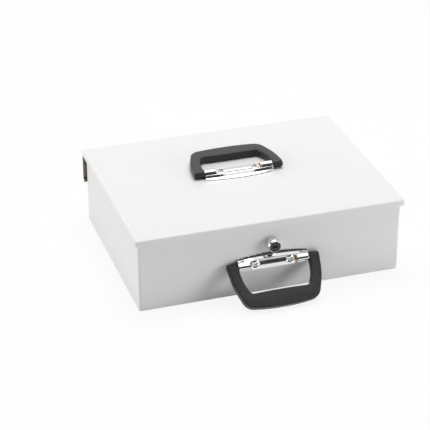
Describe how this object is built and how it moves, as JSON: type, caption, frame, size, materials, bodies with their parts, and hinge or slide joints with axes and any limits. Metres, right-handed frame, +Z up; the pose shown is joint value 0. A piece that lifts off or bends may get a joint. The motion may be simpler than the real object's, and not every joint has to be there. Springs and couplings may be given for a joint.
{
  "type": "fireproof document box",
  "caption": "Insulated steel document box with a hinged lid, a key-operated cam lock and two folding carry handles, one on the lid and one on the front.",
  "frame": {"origin": "middle of the case's flat base, on the surface that it stands on", "axes": "+Z up, -Y towards the lock and the front handle, +X to the right seen from the front"},
  "size_m": [0.36, 0.3201, 0.1148],
  "materials": {
    "enamel": "pale grey baked enamel, semi-gloss",
    "liner_paint": "pale grey baked enamel, matt",
    "insulation": "cast mineral fill, rough",
    "seal": "matt swelling strip",
    "hinge_bronze": "brown bronzed steel, satin",
    "zinc_steel": "bright zinc plate, satin",
    "chrome": "bright chrome plate",
    "dark_zinc": "die-cast, dark satin",
    "wafer_brass": "stamped brass, plain",
    "yellow_zinc": "yellow passivated zinc plate on steel, satin",
    "grip_plastic": "moulded black plastic with a leather grain"
  },
  "bodies": {
    "case": {"outer_shell": "enamel", "inner_liner": "liner_paint", "insulation_bottom": "insulation", "insulation_front": "insulation", "insulation_rear": "insulation", "insulation_left": "insulation", "insulation_right": "insulation", "hinge_leaf_case": "hinge_bronze", "hinge_pin": "zinc_steel", "hinge_rivets_case": "zinc_steel", "lock_housing": "chrome", "lock_nut": "zinc_steel", "front_bracket": "chrome", "front_bracket_screws": "chrome", "front_bracket_nuts": "zinc_steel"},
    "lid": {"lid_shell": "enamel", "lid_pan": "liner_paint", "lid_insulation": "insulation", "rim_seal": "seal", "hinge_leaf_lid": "hinge_bronze", "hinge_rivets_lid": "enamel", "lock_keeper": "zinc_steel", "keeper_rivets": "zinc_steel", "lid_bracket": "chrome", "lid_bracket_screws": "chrome", "lid_bracket_nuts": "zinc_steel"},
    "lid_handle": {"lid_grip": "grip_plastic", "lid_pivot_pins": "yellow_zinc"},
    "front_handle": {"front_grip": "grip_plastic", "front_pivot_pins": "yellow_zinc"},
    "lock": {"lock_plug": "dark_zinc", "lock_wafers": "wafer_brass", "lock_cam": "zinc_steel", "cam_washer": "zinc_steel", "cam_screw": "zinc_steel"}
  },
  "joints": [
    {"name": "lid_hinge", "type": "hinge", "parent": "case", "child": "lid", "pos_m": [0, 0.1328, 0.058], "axis": [-1, 0, 0], "range_deg": [0, 100]},
    {"name": "lid_handle_pivot", "type": "hinge", "parent": "lid", "child": "lid_handle", "pos_m": [0, 0.005, 0.1093], "axis": [1, 0, 0], "range_deg": [0, 180]},
    {"name": "front_handle_pivot", "type": "hinge", "parent": "case", "child": "front_handle", "pos_m": [0, -0.1358, 0.044], "axis": [-1, 0, 0], "range_deg": [-47, 126]},
    {"name": "lock_turn", "type": "hinge", "parent": "case", "child": "lock", "pos_m": [0, -0.13, 0.07], "axis": [0, 1, 0], "range_deg": [0, 90]}
  ]
}
